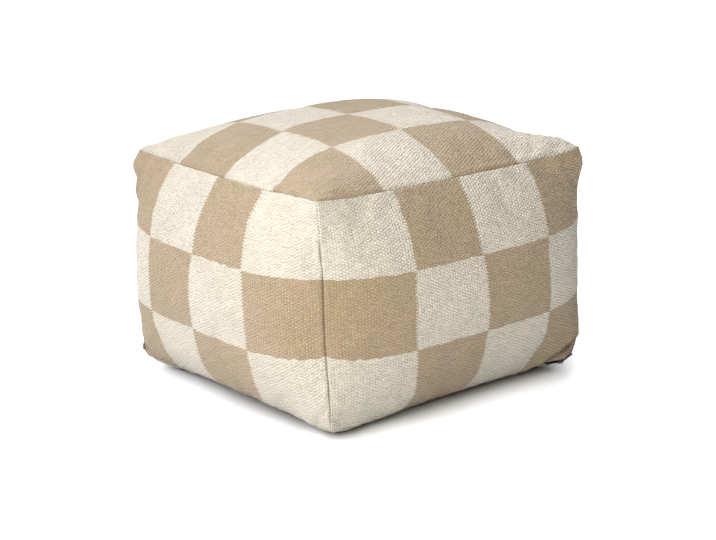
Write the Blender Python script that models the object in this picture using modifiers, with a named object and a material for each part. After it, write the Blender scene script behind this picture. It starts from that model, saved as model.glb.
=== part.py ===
"""Cube pouf stool: a filled, woven wool cube with a zip in its base seam.

The pouf stands on Z = 0 and is centred on the origin.  Its right-hand face in
the usual three-quarter view looks along -Y and its left-hand face along -X,
so the nearest corner is the one at (-X, -Y).

The cover is sewn from a top panel, four side panels and a base panel, and
packed full, so cover and filling are one solid.  Its shape is worked out from
a cube: each point of the cube's surface, from -1 to 1 along each axis, is
carried to the place where that point of the cloth lies on the pouf.
"""

import math

import bmesh
import bpy
from mathutils import Matrix, Vector

# ---------------------------------------------------------------- dimensions
# All in metres unless the name says otherwise.

# The filled cover, measured along its vertical corner seams.
CORNER_TOP_REACH = 0.2425     # axis to corner seam at the top, along X or Y
CORNER_BASE_REACH = 0.2265
CORNER_SEAM_HEIGHT = 0.352
CORNER_BASE_SWELL = 0.034     # how far the seam leans out as it leaves the base
CORNER_TOP_SWELL = 0.0
CORNER_BASE_RUN = 0.008       # height over which it does so
CORNER_TOP_RUN = 0.115

# The same, measured up the middle of a side panel, where it bulges most.
SIDE_TOP_REACH = 0.2385
SIDE_BASE_REACH = 0.2105
SIDE_SEAM_HEIGHT = 0.3497
SIDE_BASE_SWELL = 0.0833
SIDE_TOP_SWELL = 0.1048
SIDE_BASE_RUN = 0.0341
SIDE_TOP_RUN = 0.1225

# How quickly a panel rises from its seams: a low power is a round pillow,
# a high one a flat panel with tight edges.
SIDE_FULLNESS = 4.2
TOP_FULLNESS = 3.3
CROWN = 0.0594                # how far the top panel stands above its seams
CROWN_STEEPNESS = 0.89        # below 1 the crown leaves its seams more steeply
SHOULDER = 0.008              # extra filling pushed up behind each top corner
SHOULDER_PLACE = 0.053        # its distance from the corner
SHOULDER_SPREAD = 0.034
SHOULDER_EDGE = 0.014         # it dies out this near to a seam

# The base panel is flat on the floor and turns up to its seam.
BASE_FLAT_SHARE = 0.84        # part of the half width that lies on the floor
BASE_CORNER_RISE = 0.0177
BASE_SIDE_RISE = 0.0095
BASE_TURN_POWER = 2.5

# Sewn seams lie in a soft channel.
SEAM_DEPTH = 0.0042
SEAM_HALF_WIDTH = 0.0055

# Each sewn corner ends in an ear, small at the top and larger at the base.
TOP_EAR_REACH = 0.009
TOP_EAR_LIFT = 0.005
TOP_EAR_SPREAD = 0.048
BASE_EAR_REACH = 0.0166
BASE_EAR_SPREAD = 0.072

# The corner with the zip stands out further, is blunt so that the zip can
# turn it, and has a tuck in the cloth just above.
ZIP_CORNER_PULL = 0.009
ZIP_CORNER_BLUNT = 0.008
ZIP_CORNER_BLUNT_SPREAD = 0.016
ZIP_CORNER_TUCK = 0.007
ZIP_CORNER_TUCK_HEIGHT = 0.034
ZIP_CORNER_TUCK_SPREAD = 0.020
ZIP_CORNER_LIFT = 0.003

# The loosely filled cube stands a little twisted and leaning.
TWIST_DEGREES = -2.0
LEAN = (0.0116, -0.0004)

# The woven checks: columns across every panel, rows up a side panel.
CHECK_COLUMNS = 4
ROW_LINES = (-0.08, 0.475)    # heights of the row lines on the cube, base to top

# The zip lies in a channel along the base seam of the +X side and comes
# round the corner onto the -Y side.
ZIP_FAR_END = 0.78            # where it starts on the +X side, as cube Y
ZIP_NEAR_RUN = 0.046          # how far it runs on past the corner
ROUTE_ROUNDINGS = 2           # times that the corners of its route are cut off
ZIP_CHANNEL_WIDTH = 0.0136
ZIP_CHANNEL_DEPTH = 0.0036
ZIP_CHANNEL_CLEAR = 0.016     # height of the cutter above the channel's floor
TAPE_WIDTH = 0.0128
TAPE_THICKNESS = 0.0010
TEETH_WIDTH = 0.0052
TEETH_THICKNESS = 0.0022
SLIDER_LENGTH = 0.0120
SLIDER_WIDTH = 0.0092
SLIDER_PLATE = 0.0011         # thickness of its upper plate
SLIDER_FROM_CORNER = 0.015
SLIDER_NOSE_SHARE = 0.72      # width of its nose, as a share
SLIDER_ROUNDING = 0.0003
BRIDGE_INSET = 0.0024
BRIDGE_TAPER = 0.7
BRIDGE_LENGTH = 0.0060
BRIDGE_WIDTH = 0.0030
BRIDGE_HEIGHT = 0.0026
PULL_LENGTH = 0.0210
PULL_WIDTH = 0.0075
PULL_THICKNESS = 0.0014
PULL_END_SHARE = 0.30         # width of its blunt ends, as a share
PULL_SWELL_POWER = 0.8
PULL_STEPS = 9                # points along each edge
END_STOP_LENGTH = 0.0050
END_STOP_WIDTH = 0.0068
END_STOP_HEIGHT = 0.0022
END_STOP_ROUNDING = 0.0007
ZIP_END_MARGIN = 0.003        # tape end to the end of the route
TAPE_PAST_TEETH = 0.004
CHANNEL_PAST_TAPE = 0.0015
GAP = 0.0003                  # clearance between pieces that touch

# Finishes: linear base colour, roughness, metallic.
CREAM_WOOL = ((0.72, 0.66, 0.56), 0.95, 0.0)
TAN_WOOL = ((0.42, 0.32, 0.22), 0.95, 0.0)
BLACK_TAPE = ((0.020, 0.018, 0.016), 0.85, 0.0)
BLACK_NYLON = ((0.012, 0.012, 0.012), 0.45, 0.0)
SILVER_METAL = ((0.62, 0.61, 0.59), 0.32, 1.0)

# Planes on which the cube is cut into a cage.  They crowd towards the seams,
# and one falls on every line between two checks.
CAGE_LINES = (0.0, 0.25, 0.5, 0.75, 0.9, 0.97)
CAGE_HEIGHTS = (-0.97, -0.9, -0.75, -0.4, ROW_LINES[0], 0.2, ROW_LINES[1], 0.72, 0.88, 0.96)


Z_AXIS = Vector((0.0, 0.0, 1.0))
ON_FACE = 0.9999              # a cube coordinate past this lies on a face


# ------------------------------------------------------- the pouf's surface
def bezier(start, leave, arrive, end, t):
    """A cubic curve's value, from start at t = 0 to end at t = 1."""
    u = 1.0 - t
    return u * u * u * start + 3 * u * u * t * leave + 3 * u * t * t * arrive + t * t * t * end


def corner_profile(t):
    """Reach and height of a vertical corner seam, t from 0 at the base to 1."""
    reach = bezier(
        CORNER_BASE_REACH,
        CORNER_BASE_REACH + CORNER_BASE_SWELL,
        CORNER_TOP_REACH + CORNER_TOP_SWELL,
        CORNER_TOP_REACH,
        t,
    )
    height = bezier(
        BASE_CORNER_RISE,
        BASE_CORNER_RISE + CORNER_BASE_RUN,
        CORNER_SEAM_HEIGHT - CORNER_TOP_RUN,
        CORNER_SEAM_HEIGHT,
        t,
    )
    return reach, height


def side_profile(t):
    """Reach and height up the middle of a side panel."""
    reach = bezier(
        SIDE_BASE_REACH,
        SIDE_BASE_REACH + SIDE_BASE_SWELL,
        SIDE_TOP_REACH + SIDE_TOP_SWELL,
        SIDE_TOP_REACH,
        t,
    )
    height = bezier(
        BASE_SIDE_RISE,
        BASE_SIDE_RISE + SIDE_BASE_RUN,
        SIDE_SEAM_HEIGHT - SIDE_TOP_RUN,
        SIDE_SEAM_HEIGHT,
        t,
    )
    return reach, height


def hump(value, power):
    """1 in the middle of a panel, falling to 0 at its seams."""
    return 1.0 - min(abs(value), 1.0) ** power


def near(distance, spread):
    """1 at a place, fading to 0 within about twice the spread."""
    return math.exp(-((distance / spread) ** 2))


def crown_height(cube):
    """How far the top panel stands above its seams."""
    full = hump(cube.x, TOP_FULLNESS) * hump(cube.y, TOP_FULLNESS)
    aside = math.hypot(1.0 - abs(cube.x), 1.0 - abs(cube.y)) * CORNER_TOP_REACH
    from_seam = (1.0 - max(abs(cube.x), abs(cube.y))) * CORNER_TOP_REACH
    shoulder = SHOULDER * near(aside - SHOULDER_PLACE, SHOULDER_SPREAD)
    return CROWN * full ** CROWN_STEEPNESS + shoulder * min(1.0, from_seam / SHOULDER_EDGE)


def body_point(cube):
    """Where a point of the cube's surface lies on the filled pouf."""
    t = (cube.z + 1.0) / 2.0
    corner_reach, corner_height = corner_profile(t)
    side_reach, side_height = side_profile(t)
    across_x = hump(cube.x, SIDE_FULLNESS)
    across_y = hump(cube.y, SIDE_FULLNESS)
    x = cube.x * (corner_reach + (side_reach - corner_reach) * across_y)
    y = cube.y * (corner_reach + (side_reach - corner_reach) * across_x)
    towards_middle = across_x + across_y - across_x * across_y
    rim = corner_height + (side_height - corner_height) * towards_middle
    if cube.z > ON_FACE:
        z = rim + crown_height(cube)
    elif cube.z < -ON_FACE:
        edge = max(abs(cube.x), abs(cube.y))
        turn_up = max(0.0, (edge - BASE_FLAT_SHARE) / (1.0 - BASE_FLAT_SHARE))
        z = rim * turn_up ** BASE_TURN_POWER
    else:
        z = rim
    point = Vector((x, y, z))
    return twisted(point + corner_ears(cube))


def corner_ears(cube):
    """How the nearest sewn corners, at the top and at the base, stand out."""
    outward = Vector((math.copysign(1.0, cube.x), math.copysign(1.0, cube.y), 0.0)).normalized()
    aside = math.hypot(1.0 - abs(cube.x), 1.0 - abs(cube.y)) * CORNER_TOP_REACH
    from_top = (1.0 - cube.z) / 2.0 * CORNER_SEAM_HEIGHT
    from_base = (1.0 + cube.z) / 2.0 * CORNER_SEAM_HEIGHT
    top_share = near(math.hypot(aside, from_top), TOP_EAR_SPREAD)
    base_share = near(math.hypot(aside, from_base), BASE_EAR_SPREAD)
    reach = TOP_EAR_REACH * top_share + BASE_EAR_REACH * base_share
    lift = TOP_EAR_LIFT * top_share
    if cube.x > 0.0 > cube.y:
        reach += ZIP_CORNER_PULL * base_share
        blunt_share = near(math.hypot(aside, from_base), ZIP_CORNER_BLUNT_SPREAD)
        to_tuck = math.hypot(aside, from_base - ZIP_CORNER_TUCK_HEIGHT)
        tuck_share = near(to_tuck, ZIP_CORNER_TUCK_SPREAD)
        reach -= ZIP_CORNER_BLUNT * blunt_share + ZIP_CORNER_TUCK * tuck_share
        lift += ZIP_CORNER_LIFT * blunt_share
    return outward * reach + Z_AXIS * lift


def twisted(point):
    """The slight twist and lean of the standing cube."""
    share = point.z / CORNER_SEAM_HEIGHT - 0.5
    turn = math.radians(TWIST_DEGREES) * share
    x = point.x * math.cos(turn) - point.y * math.sin(turn) + LEAN[0] * share
    y = point.x * math.sin(turn) + point.y * math.cos(turn) + LEAN[1] * share
    return Vector((x, y, point.z))


def seam_channel(cube):
    """How deep the cloth is drawn in by the nearest seam."""
    second = sorted((abs(cube.x), abs(cube.y), abs(cube.z)))[1]
    return SEAM_DEPTH * near((1.0 - second) * CORNER_TOP_REACH, SEAM_HALF_WIDTH)


# ------------------------------------------------------------------ helpers
def finish(name, settings):
    """A material of one colour, roughness and metallic value."""
    colour, roughness, metallic = settings
    material = bpy.data.materials.new(name)
    material.use_nodes = True
    shader = material.node_tree.nodes["Principled BSDF"]
    shader.inputs["Base Color"].default_value = (*colour, 1.0)
    shader.inputs["Roughness"].default_value = roughness
    shader.inputs["Metallic"].default_value = metallic
    return material


def new_object(name, data, group, parent):
    """Link an object to its collection and hang it on its parent."""
    thing = bpy.data.objects.new(name, data)
    group.objects.link(thing)
    thing.parent = parent
    return thing


# --------------------------------------------------------------------- body
def check_colour(centre):
    """0 for a cream check and 1 for a tan one, by the cage face's centre."""
    def column(value):
        return min(int((value + 1.0) / 2.0 * CHECK_COLUMNS), CHECK_COLUMNS - 1)

    if centre.z < -ON_FACE:
        return 0
    if centre.z > ON_FACE:
        return 1 - (column(centre.x) + column(centre.y)) % 2
    row = sum(centre.z > line for line in ROW_LINES)
    sideways = centre.x if abs(centre.y) > ON_FACE else centre.y
    facing = centre.x > ON_FACE or centre.y > ON_FACE
    return (column(sideways) + row + facing) % 2


def make_body(group, parent):
    """The filled cover: a cube cut into a cage, shaped, seamed and smoothed."""
    mesh = bpy.data.meshes.new("pouf_body")
    cage = bmesh.new()
    bmesh.ops.create_cube(cage, size=2.0)
    sideways = sorted({line * sign for line in CAGE_LINES for sign in (-1.0, 1.0)})
    for axis, lines in ((0, sideways), (1, sideways), (2, CAGE_HEIGHTS)):
        normal = Vector([1.0 if index == axis else 0.0 for index in range(3)])
        for line in lines:
            everything = cage.verts[:] + cage.edges[:] + cage.faces[:]
            bmesh.ops.bisect_plane(cage, geom=everything, plane_co=normal * line, plane_no=normal)
    for face in cage.faces:
        face.material_index = check_colour(face.calc_center_median())
        face.smooth = True
    channels = []
    for vertex in cage.verts:
        channels.append(seam_channel(vertex.co))
        vertex.co = body_point(vertex.co)
    cage.normal_update()
    for vertex, depth in zip(cage.verts, channels):
        vertex.co -= vertex.normal * depth
        vertex.co.z = max(vertex.co.z, 0.0)
    cage.to_mesh(mesh)
    cage.free()
    body = new_object("pouf_body", mesh, group, parent)
    mesh.materials.append(finish("cream_wool", CREAM_WOOL))
    mesh.materials.append(finish("tan_wool", TAN_WOOL))
    smooth = body.modifiers.new("smooth", "SUBSURF")
    smooth.levels = 1
    smooth.render_levels = 1
    return body


# ---------------------------------------------------------------------- zip
def zip_stations():
    """Hand-set stations on the base seam: its cube point and the zip's tilt.

    The tilt is in degrees below the horizontal: the zip looks down to the
    floor under the bulging sides, and outwards at the corner.
    """
    along_x_side = ((ZIP_FAR_END, 66), (0.5, 68), (0.2, 68), (-0.1, 68), (-0.4, 66),
                    (-0.65, 60), (-0.8, 50), (-0.89, 42), (-0.95, 36))
    near_end = 1.0 - ZIP_NEAR_RUN / CORNER_BASE_REACH
    along_y_side = ((0.95, 36), (0.89, 38), (near_end, 44))
    for place, tilt in along_x_side:
        yield Vector((1.0, place, -1.0)), Vector((1.0, 0.0, 0.0)), tilt
    for place, tilt in along_y_side:
        yield Vector((place, -1.0, -1.0)), Vector((0.0, -1.0, 0.0)), tilt


def zip_route():
    """Points and facings along the zip, with every turn rounded off."""
    stations = []
    for cube, sideways, tilt in zip_stations():
        angle = math.radians(tilt)
        facing = sideways * math.cos(angle) - Z_AXIS * math.sin(angle)
        stations.append((body_point(cube), facing))
    for _ in range(ROUTE_ROUNDINGS):
        rounded = [stations[0]]
        for (start, faces), (end, turned) in zip(stations, stations[1:]):
            rounded.append((start.lerp(end, 0.25), faces.lerp(turned, 0.25).normalized()))
            rounded.append((start.lerp(end, 0.75), faces.lerp(turned, 0.75).normalized()))
        rounded.append(stations[-1])
        stations = rounded
    return stations


def zip_frames():
    """Distance along the zip and the frame there: along, across and outward."""
    route = zip_route()
    frames = []
    distance = 0.0
    for index, (point, facing) in enumerate(route):
        before = route[max(index - 1, 0)][0]
        after = route[min(index + 1, len(route) - 1)][0]
        if index:
            distance += (point - before).length
        along = (after - before).normalized()
        across = facing.cross(along).normalized()
        outward = along.cross(across)
        frames.append((distance, point, along, across, outward))
    return frames


def frame_at(frames, distance):
    """The zip's frame at a distance from its far end."""
    for lower, upper in zip(frames, frames[1:]):
        if upper[0] >= distance:
            break
    share = (distance - lower[0]) / (upper[0] - lower[0])
    point = lower[1].lerp(upper[1], share)
    along = lower[2].lerp(upper[2], share).normalized()
    outward = lower[4].lerp(upper[4], share)
    across = outward.cross(along).normalized()
    outward = along.cross(across)
    return point, along, across, outward


def placed(frames, distance, height):
    """A matrix whose X runs along the zip, Y across it and Z outward."""
    point, along, across, outward = frame_at(frames, distance)
    matrix = Matrix((along, across, outward)).transposed().to_4x4()
    matrix.translation = point + outward * height
    return matrix


def strip(name, frames, start, end, width, height, thickness, group, parent):
    """A ribbon along the zip, from a flat grid bent along it and thickened."""
    stations = [frame[0] for frame in frames if start < frame[0] < end]
    stations = [start] + stations + [end]
    mesh = bpy.data.meshes.new(name)
    grid = bmesh.new()
    bmesh.ops.create_grid(grid, x_segments=len(stations) - 1, y_segments=1, size=0.5)
    for vertex in grid.verts:
        index = round((vertex.co.x + 0.5) * (len(stations) - 1))
        point, _, across, outward = frame_at(frames, stations[index])
        vertex.co = point + across * vertex.co.y * width + outward * height
    grid.to_mesh(mesh)
    grid.free()
    ribbon = new_object(name, mesh, group, parent)
    thicken = ribbon.modifiers.new("thickness", "SOLIDIFY")
    thicken.thickness = thickness
    thicken.offset = 1.0
    return ribbon


def make_slider(group, parent):
    """The slider's upper plate, narrower at its nose, with the pull's bridge."""
    mesh = bpy.data.meshes.new("zip_slider")
    shape = bmesh.new()
    for vertex in bmesh.ops.create_cube(shape, size=1.0)["verts"]:
        nose = SLIDER_NOSE_SHARE if vertex.co.x < 0.0 else 1.0
        vertex.co.x *= SLIDER_LENGTH
        vertex.co.y *= SLIDER_WIDTH * nose
        vertex.co.z = (vertex.co.z + 0.5) * SLIDER_PLATE
    top = max(shape.faces, key=lambda face: face.calc_center_median().z)
    bmesh.ops.inset_region(shape, faces=[top], thickness=BRIDGE_INSET)
    for vertex in top.verts:
        vertex.co.x = math.copysign(BRIDGE_LENGTH / 2.0, vertex.co.x)
        vertex.co.y = math.copysign(BRIDGE_WIDTH / 2.0, vertex.co.y)
    bridge = bmesh.ops.extrude_discrete_faces(shape, faces=[top])["faces"][0]
    for vertex in bridge.verts:
        vertex.co.x *= BRIDGE_TAPER
        vertex.co.z += BRIDGE_HEIGHT
    shape.to_mesh(mesh)
    shape.free()
    slider = new_object("zip_slider", mesh, group, parent)
    rounding = slider.modifiers.new("rounding", "BEVEL")
    rounding.width = SLIDER_ROUNDING
    rounding.segments = 1
    return slider


def make_pull(group, parent):
    """A lens-shaped metal tab, a filled outline with thickness."""
    outline = bpy.data.curves.new("zip_pull", "CURVE")
    outline.dimensions = "2D"
    outline.fill_mode = "BOTH"
    outline.extrude = PULL_THICKNESS / 2.0
    spline = outline.splines.new("POLY")
    corners = []
    for side in (1.0, -1.0):
        for step in range(PULL_STEPS):
            share = step / PULL_STEPS if side > 0.0 else 1.0 - step / PULL_STEPS
            round_share = math.sin(math.pi * share) ** PULL_SWELL_POWER
            swell = PULL_END_SHARE + (1.0 - PULL_END_SHARE) * round_share
            corners.append((share * PULL_LENGTH, side * PULL_WIDTH / 2.0 * swell))
    spline.points.add(len(corners) - 1)
    for point, (x, y) in zip(spline.points, corners):
        point.co = (x, y, 0.0, 1.0)
    spline.use_cyclic_u = True
    return new_object("zip_pull", outline, group, parent)


def make_end_stop(group, parent):
    """The folded tape end that closes the zip."""
    mesh = bpy.data.meshes.new("zip_end_stop")
    shape = bmesh.new()
    bmesh.ops.create_cube(shape, size=1.0)
    for vertex in shape.verts:
        vertex.co.x *= END_STOP_LENGTH
        vertex.co.y *= END_STOP_WIDTH
        vertex.co.z = (vertex.co.z + 0.5) * END_STOP_HEIGHT
    shape.to_mesh(mesh)
    shape.free()
    stop = new_object("zip_end_stop", mesh, group, parent)
    rounding = stop.modifiers.new("rounding", "BEVEL")
    rounding.width = END_STOP_ROUNDING
    rounding.segments = 2
    return stop


def make_zip(body, group, cutters, parent):
    """Channel, tape, teeth, slider, pull and end stop along the base seam."""
    frames = zip_frames()
    route_end = frames[-1][0]
    tape_start = ZIP_END_MARGIN
    tape_end = route_end - ZIP_END_MARGIN
    channel_floor = -ZIP_CHANNEL_DEPTH
    tape_base = channel_floor + GAP
    teeth_base = tape_base + TAPE_THICKNESS + GAP
    slider_base = teeth_base + TEETH_THICKNESS + GAP

    channel = strip(
        "zip_channel_cutter", frames, tape_start - CHANNEL_PAST_TAPE, tape_end + CHANNEL_PAST_TAPE,
        ZIP_CHANNEL_WIDTH, channel_floor, ZIP_CHANNEL_CLEAR, cutters, parent,
    )
    channel.hide_render = True
    channel.display_type = "WIRE"
    cut = body.modifiers.new("zip_channel", "BOOLEAN")
    cut.operation = "DIFFERENCE"
    cut.object = channel

    tape = strip(
        "zip_tape", frames, tape_start, tape_end,
        TAPE_WIDTH, tape_base, TAPE_THICKNESS, group, parent,
    )
    tape.data.materials.append(finish("black_tape", BLACK_TAPE))

    stop = make_end_stop(group, parent)
    stop_place = tape_end - END_STOP_LENGTH / 2.0 - CHANNEL_PAST_TAPE
    stop.matrix_world = placed(frames, stop_place, teeth_base)
    stop.data.materials.append(finish("stop_tape", BLACK_TAPE))

    teeth_end = stop_place - END_STOP_LENGTH / 2.0 - GAP
    teeth = strip(
        "zip_teeth", frames, tape_start + TAPE_PAST_TEETH, teeth_end,
        TEETH_WIDTH, teeth_base, TEETH_THICKNESS, group, parent,
    )
    teeth.data.materials.append(finish("black_nylon", BLACK_NYLON))

    slider_place = route_end - ZIP_NEAR_RUN + SLIDER_FROM_CORNER
    slider = make_slider(group, parent)
    slider.matrix_world = placed(frames, slider_place, slider_base)
    slider.data.materials.append(finish("black_slider", BLACK_NYLON))

    pull = make_pull(group, parent)
    pull_place = slider_place + BRIDGE_LENGTH / 2.0 + GAP
    pull_base = slider_base + SLIDER_PLATE + GAP + PULL_THICKNESS / 2.0
    pull.matrix_world = placed(frames, pull_place, pull_base)
    pull.data.materials.append(finish("pull_metal", SILVER_METAL))


# --------------------------------------------------------------------- main
def centre_on_origin(base, body):
    """Shift the whole pouf so that its box is centred over the origin."""
    bpy.context.view_layer.update()
    evaluated = body.evaluated_get(bpy.context.evaluated_depsgraph_get())
    corners = [evaluated.matrix_world @ Vector(corner) for corner in evaluated.bound_box]
    for axis in (0, 1):
        values = [corner[axis] for corner in corners]
        base.location[axis] = -(min(values) + max(values)) / 2.0


def main():
    for thing in list(bpy.data.objects):
        bpy.data.objects.remove(thing, do_unlink=True)
    group = bpy.data.collections.new("cube_pouf_stool")
    cutters = bpy.data.collections.new("cutters")
    for collection in (group, cutters):
        bpy.context.scene.collection.children.link(collection)
    base = bpy.data.objects.new("pouf_frame", None)
    group.objects.link(base)
    body = make_body(group, base)
    make_zip(body, group, cutters, base)
    centre_on_origin(base, body)


main()
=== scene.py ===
# %% [markdown]
# # Cube pouf stool
# A pouf is a low seat: a cube of heavy woven wool, packed full of beads.
# The cloth is cut as six panels, sewn edge to edge, and closed with a zip in
# the base seam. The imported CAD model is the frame: it says where everything
# is. This script gives it the cloth, the seams, the zip and the finishes.

# %% Load the frame
import math

import bpy
import numpy as np
from mathutils import Matrix, Vector, kdtree, noise


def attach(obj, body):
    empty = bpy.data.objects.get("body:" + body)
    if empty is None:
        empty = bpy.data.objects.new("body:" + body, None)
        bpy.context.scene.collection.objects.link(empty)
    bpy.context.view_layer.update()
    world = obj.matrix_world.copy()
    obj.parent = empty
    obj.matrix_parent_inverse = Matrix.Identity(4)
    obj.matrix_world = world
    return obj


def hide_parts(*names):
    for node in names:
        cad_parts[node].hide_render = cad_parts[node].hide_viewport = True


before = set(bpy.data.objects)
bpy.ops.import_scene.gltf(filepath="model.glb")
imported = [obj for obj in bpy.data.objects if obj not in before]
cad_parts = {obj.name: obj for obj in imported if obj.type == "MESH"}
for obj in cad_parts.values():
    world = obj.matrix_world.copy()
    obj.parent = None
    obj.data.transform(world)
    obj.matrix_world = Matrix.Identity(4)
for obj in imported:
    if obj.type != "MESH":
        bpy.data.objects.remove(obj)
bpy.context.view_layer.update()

# %% [markdown]
# ## The shape of a filled cover
# Filled cloth is easiest to describe from the flat panels it was cut from. A
# cube from -1 to 1 stands for the six panels, and one function carries each
# point of that cube to its place on the pouf: four profiles run up the corner
# seams and up the middle of the sides, and a "hump" blends between them. The
# numbers are those of the CAD part, so the cover fits its solid. Each corner
# stands out as an "ear": its end, height, spread, reach and lift. The corner
# with the zip has three more, which draw it out, blunt it and tuck it in.

# %% Sizes of the filled shape, in metres and in shares of a panel
CHECK = 0.125
TOP_REACH = 0.2407
CORNER_SEAM_HEIGHT = 0.352
CORNER_REACH = (0.2245, 0.2585, TOP_REACH, TOP_REACH)
CORNER_HEIGHT = (0.0177, 0.0257, 0.237, CORNER_SEAM_HEIGHT)
SIDE_REACH = (0.2105, 0.2938, 0.3433, 0.2385)
SIDE_HEIGHT = (0.0095, 0.0436, 0.2272, 0.3497)
SIDE_FULLNESS = 4.2
TOP_FULLNESS = 3.3
CROWN, CROWN_STEEPNESS = 0.0594, 0.89
SHOULDER, SHOULDER_PLACE, SHOULDER_SPREAD, SHOULDER_EDGE = 0.008, 0.053, 0.034, 0.014
BASE_FLAT_SHARE, BASE_TURN_SHARE, BASE_TURN_POWER = 0.84, 0.16, 2.5
CORNER_TOP_REACH = 0.2425
CORNER_BASE_REACH = 0.2265
EARS = (("top", 0.0, 0.048, 0.009, 0.005), ("base", 0.0, 0.072, 0.0166, 0.0))
ZIP_EARS = (("base", 0.0, 0.072, 0.009, 0.0), ("base", 0.0, 0.016, -0.008, 0.003),
            ("base", 0.034, 0.020, -0.007, 0.0))
TWIST_DEGREES = -2.0
LEAN = (0.0116, -0.0004)
CENTRE_SHIFT = (-0.00036, 0.0, 0.0)
print(f"a check is {CHECK * 1000:.0f} mm wide")

# %% From the flat cube to the filled pouf
def along_curve(controls, t):
    """The cubic curve with these four control values, at t from 0 to 1."""
    a, b, c, d = controls
    u = 1 - t
    return u**3 * a + 3 * u**2 * t * b + 3 * u * t**2 * c + t**3 * d


def hump(value, power):
    """1 in the middle of a panel, falling to 0 at its seams."""
    return 1 - np.minimum(abs(value), 1) ** power


def near(distance, spread):
    """1 at a place, fading to 0 within about twice the spread."""
    return np.exp(-((distance / spread) ** 2))


def corner_distance(x, y):
    """Metres across the cloth to the nearest corner seam."""
    return np.hypot(1 - abs(x), 1 - abs(y)) * CORNER_TOP_REACH


def corner_pull(cube):
    """How the sewn corners stand out, at the top and at the base."""
    x, y, z = cube.T
    outward = np.stack([np.where(x < 0, -1, 1), np.where(y < 0, -1, 1), 0 * z], 1) / math.sqrt(2)
    reach, lift = 0 * z, 0 * z
    for ears, here in ((EARS, 1), (ZIP_EARS, (x > 0) & (y < 0))):
        for end, height, spread, ear_reach, ear_lift in ears:
            from_end = (1 - z if end == "top" else 1 + z) / 2 * CORNER_SEAM_HEIGHT
            ear = here * near(np.hypot(corner_distance(x, y), from_end - height), spread)
            reach += ear_reach * ear
            lift += ear_lift * ear
    return outward * reach[:, None] + np.outer(lift, (0, 0, 1))


def place_on_pouf(cube):
    """Where points of the cube's surface lie on the filled pouf."""
    cube = np.atleast_2d(np.asarray(cube, float))
    x, y, z = cube.T
    t = (z + 1) / 2
    reach_c, reach_s = along_curve(CORNER_REACH, t), along_curve(SIDE_REACH, t)
    across_x, across_y = hump(x, SIDE_FULLNESS), hump(y, SIDE_FULLNESS)
    place = np.empty_like(cube)
    place[:, 0] = x * (reach_c + (reach_s - reach_c) * across_y)
    place[:, 1] = y * (reach_c + (reach_s - reach_c) * across_x)
    height_c, height_s = along_curve(CORNER_HEIGHT, t), along_curve(SIDE_HEIGHT, t)
    rim = height_c + (height_s - height_c) * (across_x + across_y - across_x * across_y)
    edge = np.maximum(abs(x), abs(y))
    shoulder = SHOULDER * near(corner_distance(x, y) - SHOULDER_PLACE, SHOULDER_SPREAD)
    shoulder *= np.minimum(1, (1 - edge) * CORNER_TOP_REACH / SHOULDER_EDGE)
    crown = CROWN * (hump(x, TOP_FULLNESS) * hump(y, TOP_FULLNESS)) ** CROWN_STEEPNESS + shoulder
    turn_up = np.maximum(0, (edge - BASE_FLAT_SHARE) / BASE_TURN_SHARE) ** BASE_TURN_POWER
    place[:, 2] = np.where(z > 0.9999, rim + crown, np.where(z < -0.9999, rim * turn_up, rim))
    place += corner_pull(cube)
    share = place[:, 2] / CORNER_SEAM_HEIGHT - 0.5
    turn = math.radians(TWIST_DEGREES) * share
    x, y = place[:, 0].copy(), place[:, 1].copy()
    place[:, 0] = x * np.cos(turn) - y * np.sin(turn) + LEAN[0] * share
    place[:, 1] = x * np.sin(turn) + y * np.cos(turn) + LEAN[1] * share
    return place + CENTRE_SHIFT


crown_top = place_on_pouf([(0, 0, 1)])[0]
print(f"the crown stands at {crown_top[2] * 1000:.0f} mm")

# %% [markdown]
# ## What handling has done
# No two such poufs have the same outline, for each has been carried, sat on
# and pushed back into shape. Single corners and edges are moved to this one's
# own. A row is a place on the flat cube, how far around it the cloth comes
# along, and the push, both in tenths of a millimetre.

# %% Dents and lobes: place, spread and push
TENTHS = 10000
HANDLING = (
    ((-1, 1, 1), 160, (66, -66, -22)),
    ((-1, 1, 0.87), 210, (-33, 33, 0)),
    ((-1, 1, 0.66), 150, (-23, 20, 0)),
    ((-1, 1, 0.45), 200, (-12, 12, 0)),
    ((-0.87, 0.91, 1), 180, (0, 0, -35)),
    ((-0.60, 0.80, 1), 450, (0, 0, 18)),
    ((1, -1, 1), 135, (-34, 34, 0)),
    ((1, -1, 0.87), 210, (22, -22, 0)),
    ((0.96, -0.87, 1), 160, (0, 0, 50)),
    ((-1, -1, 1), 500, (0, 0, 30)),
    ((-1, -0.68, 1), 450, (0, 0, 36)),
    ((-1, -0.88, 1), 120, (0, 0, 12)),
    ((-0.55, -1, 1), 600, (0, 0, 22)),
    ((-1, -1, 0.45), 800, (15, -12, 0)),
    ((-1, -1, -0.45), 750, (28, -22, 0)),
    ((-1, -1, -1), 200, (10, 10, 45)),
    ((-0.94, -0.94, -1), 280, (0, 0, 55)),
    ((-0.55, -1, -1), 450, (0, 0, -35)),
    ((-1, 1, -0.88), 300, (16, -16, 0)),
    ((-0.98, 0.92, -1), 220, (0, 0, 16)),
    ((1, -1, -0.38), 300, (30, -30, 0)),
    ((1, -1, -0.72), 220, (-26, 26, 0)),
    ((0.82, -0.95, -1), 300, (0, 0, 45)),
)


def handled(places, nudges=HANDLING):
    """These places, with the dents and lobes from handling."""
    moved = places.copy()
    for centre, spread, push in nudges:
        apart = np.linalg.norm(places - place_on_pouf([centre]), axis=1)
        moved += np.outer(near(apart, spread / TENTHS), np.array(push) / TENTHS)
    return moved


print("handling has moved the cloth at", len(HANDLING), "places")

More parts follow.
